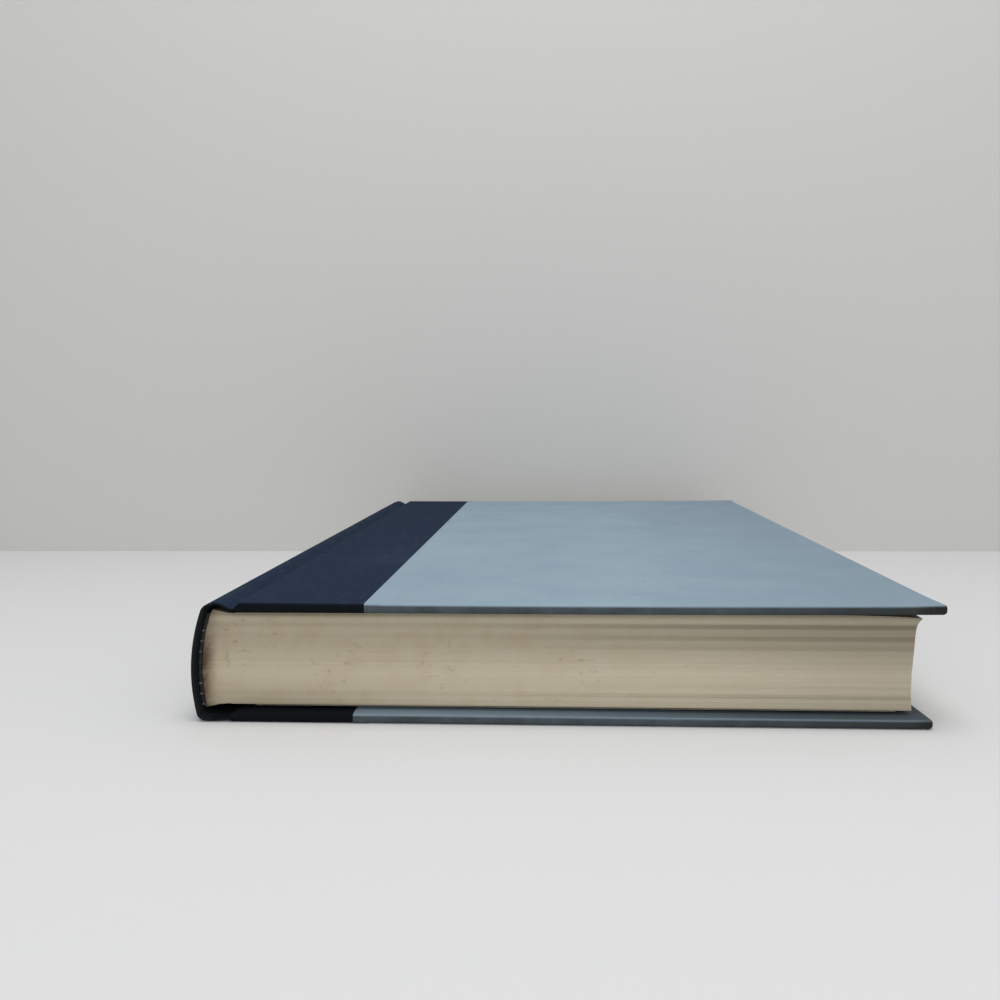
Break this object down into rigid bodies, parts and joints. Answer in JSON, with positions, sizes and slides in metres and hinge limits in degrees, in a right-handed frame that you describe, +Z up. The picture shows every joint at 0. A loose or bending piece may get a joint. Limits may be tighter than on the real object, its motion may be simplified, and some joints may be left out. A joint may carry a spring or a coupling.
{
  "type": "hardback book",
  "caption": "Quarter-bound hardback book lying closed on its back cover, with rounded spine, cloth joints, opening covers and cream leaf edges.",
  "frame": {"origin": "middle of the back cover's outer face, on the surface that the book lies on", "axes": "+X from the spine to the fore-edge, +Y from the tail to the head, +Z up through the closed book to its front cover"},
  "size_m": [0.1625, 0.241, 0.0265],
  "materials": {
    "navy_bookcloth": "fine woven matt bookcloth",
    "blue_side_paper": "matt textured cover paper",
    "binders_board": "dense grey-brown board",
    "endpaper": "plain cream paper",
    "leaves": "cut leaf edges, slightly foxed",
    "mull": "open gauze in glue",
    "kraft_lining": "brown kraft paper",
    "spine_card": "thin grey card",
    "band_cloth": "navy silk with pale stitches"
  },
  "bodies": {
    "text_block": {"text_block": "leaves", "front_endleaf": "endpaper", "back_endleaf": "endpaper", "mull": "mull", "spine_lining": "kraft_lining", "spine_inlay": "spine_card", "head_band": "band_cloth", "tail_band": "band_cloth", "spine_cloth": "navy_bookcloth"},
    "front_cover": {"front_board": "binders_board", "front_cloth": "navy_bookcloth", "front_side_paper": "blue_side_paper", "front_pastedown": "endpaper"},
    "back_cover": {"back_board": "binders_board", "back_cloth": "navy_bookcloth", "back_side_paper": "blue_side_paper", "back_pastedown": "endpaper"}
  },
  "joints": [
    {"name": "front_cover_hinge", "type": "hinge", "parent": "text_block", "child": "front_cover", "pos_m": [-0.0728, 0, 0.0268], "axis": [0, -1, 0], "range_deg": [0, 180]},
    {"name": "back_cover_hinge", "type": "hinge", "parent": "text_block", "child": "back_cover", "pos_m": [-0.075, 0, -0.0003], "axis": [0, 1, 0], "range_deg": [0, 180]}
  ]
}
